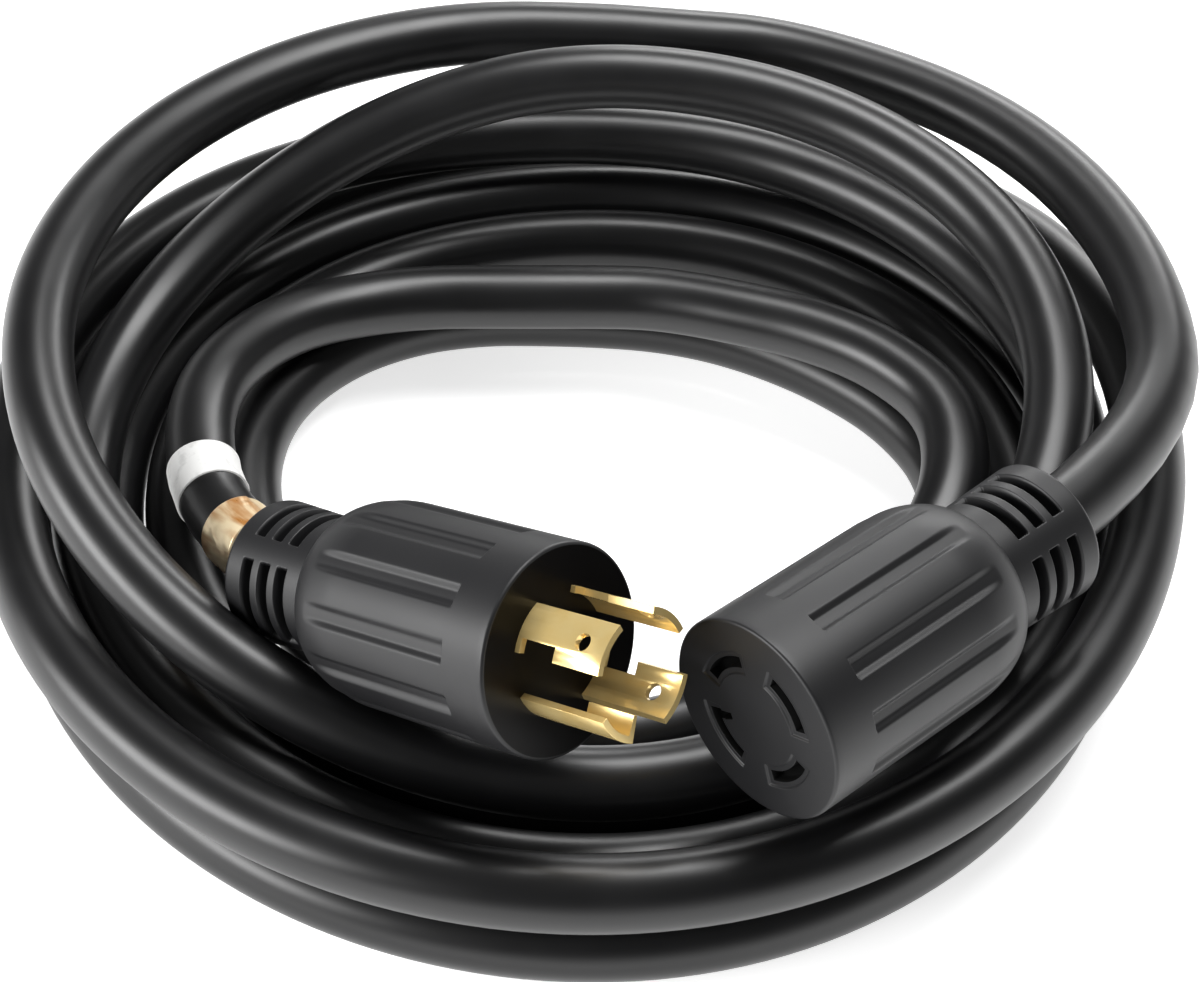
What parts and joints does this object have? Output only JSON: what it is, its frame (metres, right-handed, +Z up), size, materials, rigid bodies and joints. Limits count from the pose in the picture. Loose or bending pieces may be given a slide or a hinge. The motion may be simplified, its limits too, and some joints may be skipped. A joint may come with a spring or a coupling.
{
  "type": "shore power cord",
  "caption": "Heavy four-wire power cord in a loose coil, with a locking plug on one end and a locking connector on the other.",
  "frame": {"origin": "under the middle of the whole coiled cord, on the floor it lies on", "axes": "+Z up out of the floor; -Y is the side the picture is taken from; +X to its right"},
  "size_m": [0.318, 0.316, 0.1057],
  "materials": {
    "cord_jacket": "smooth semi-gloss black flexible jacket",
    "moulded_body": "satin moulded black PVC",
    "carrier_nylon": "moulded nylon",
    "blade_brass": "bright stamped brass",
    "contact_brass": "stamped brass spring leaf",
    "white_band": "plain white wrap",
    "gold_foil": "crinkled gold foil wrap",
    "core_black": "coloured conductor insulation",
    "core_white": "coloured conductor insulation",
    "core_red": "coloured conductor insulation",
    "core_green": "coloured conductor insulation"
  },
  "bodies": {
    "root": {"cord_coil": "cord_jacket", "cord_plug_tail": "cord_jacket", "cord_connector_tail": "cord_jacket", "white_marker_band": "white_band", "gold_foil_band": "gold_foil", "plug_body": "moulded_body", "plug_strain_relief": "moulded_body", "plug_blade_carrier": "carrier_nylon", "connector_body": "moulded_body", "connector_strain_relief": "moulded_body", "connector_contact_carrier": "carrier_nylon", "plug_blade_hot_x": "blade_brass", "connector_contact_hot_x": "contact_brass", "plug_blade_hot_y": "blade_brass", "connector_contact_hot_y": "contact_brass", "plug_blade_neutral": "blade_brass", "connector_contact_neutral": "contact_brass", "plug_blade_ground": "blade_brass", "connector_contact_ground": "contact_brass", "plug_core_black": "core_black", "connector_core_black": "core_black", "plug_core_white": "core_white", "connector_core_white": "core_white", "plug_core_red": "core_red", "connector_core_red": "core_red", "plug_core_green": "core_green", "connector_core_green": "core_green"}
  },
  "joints": []
}
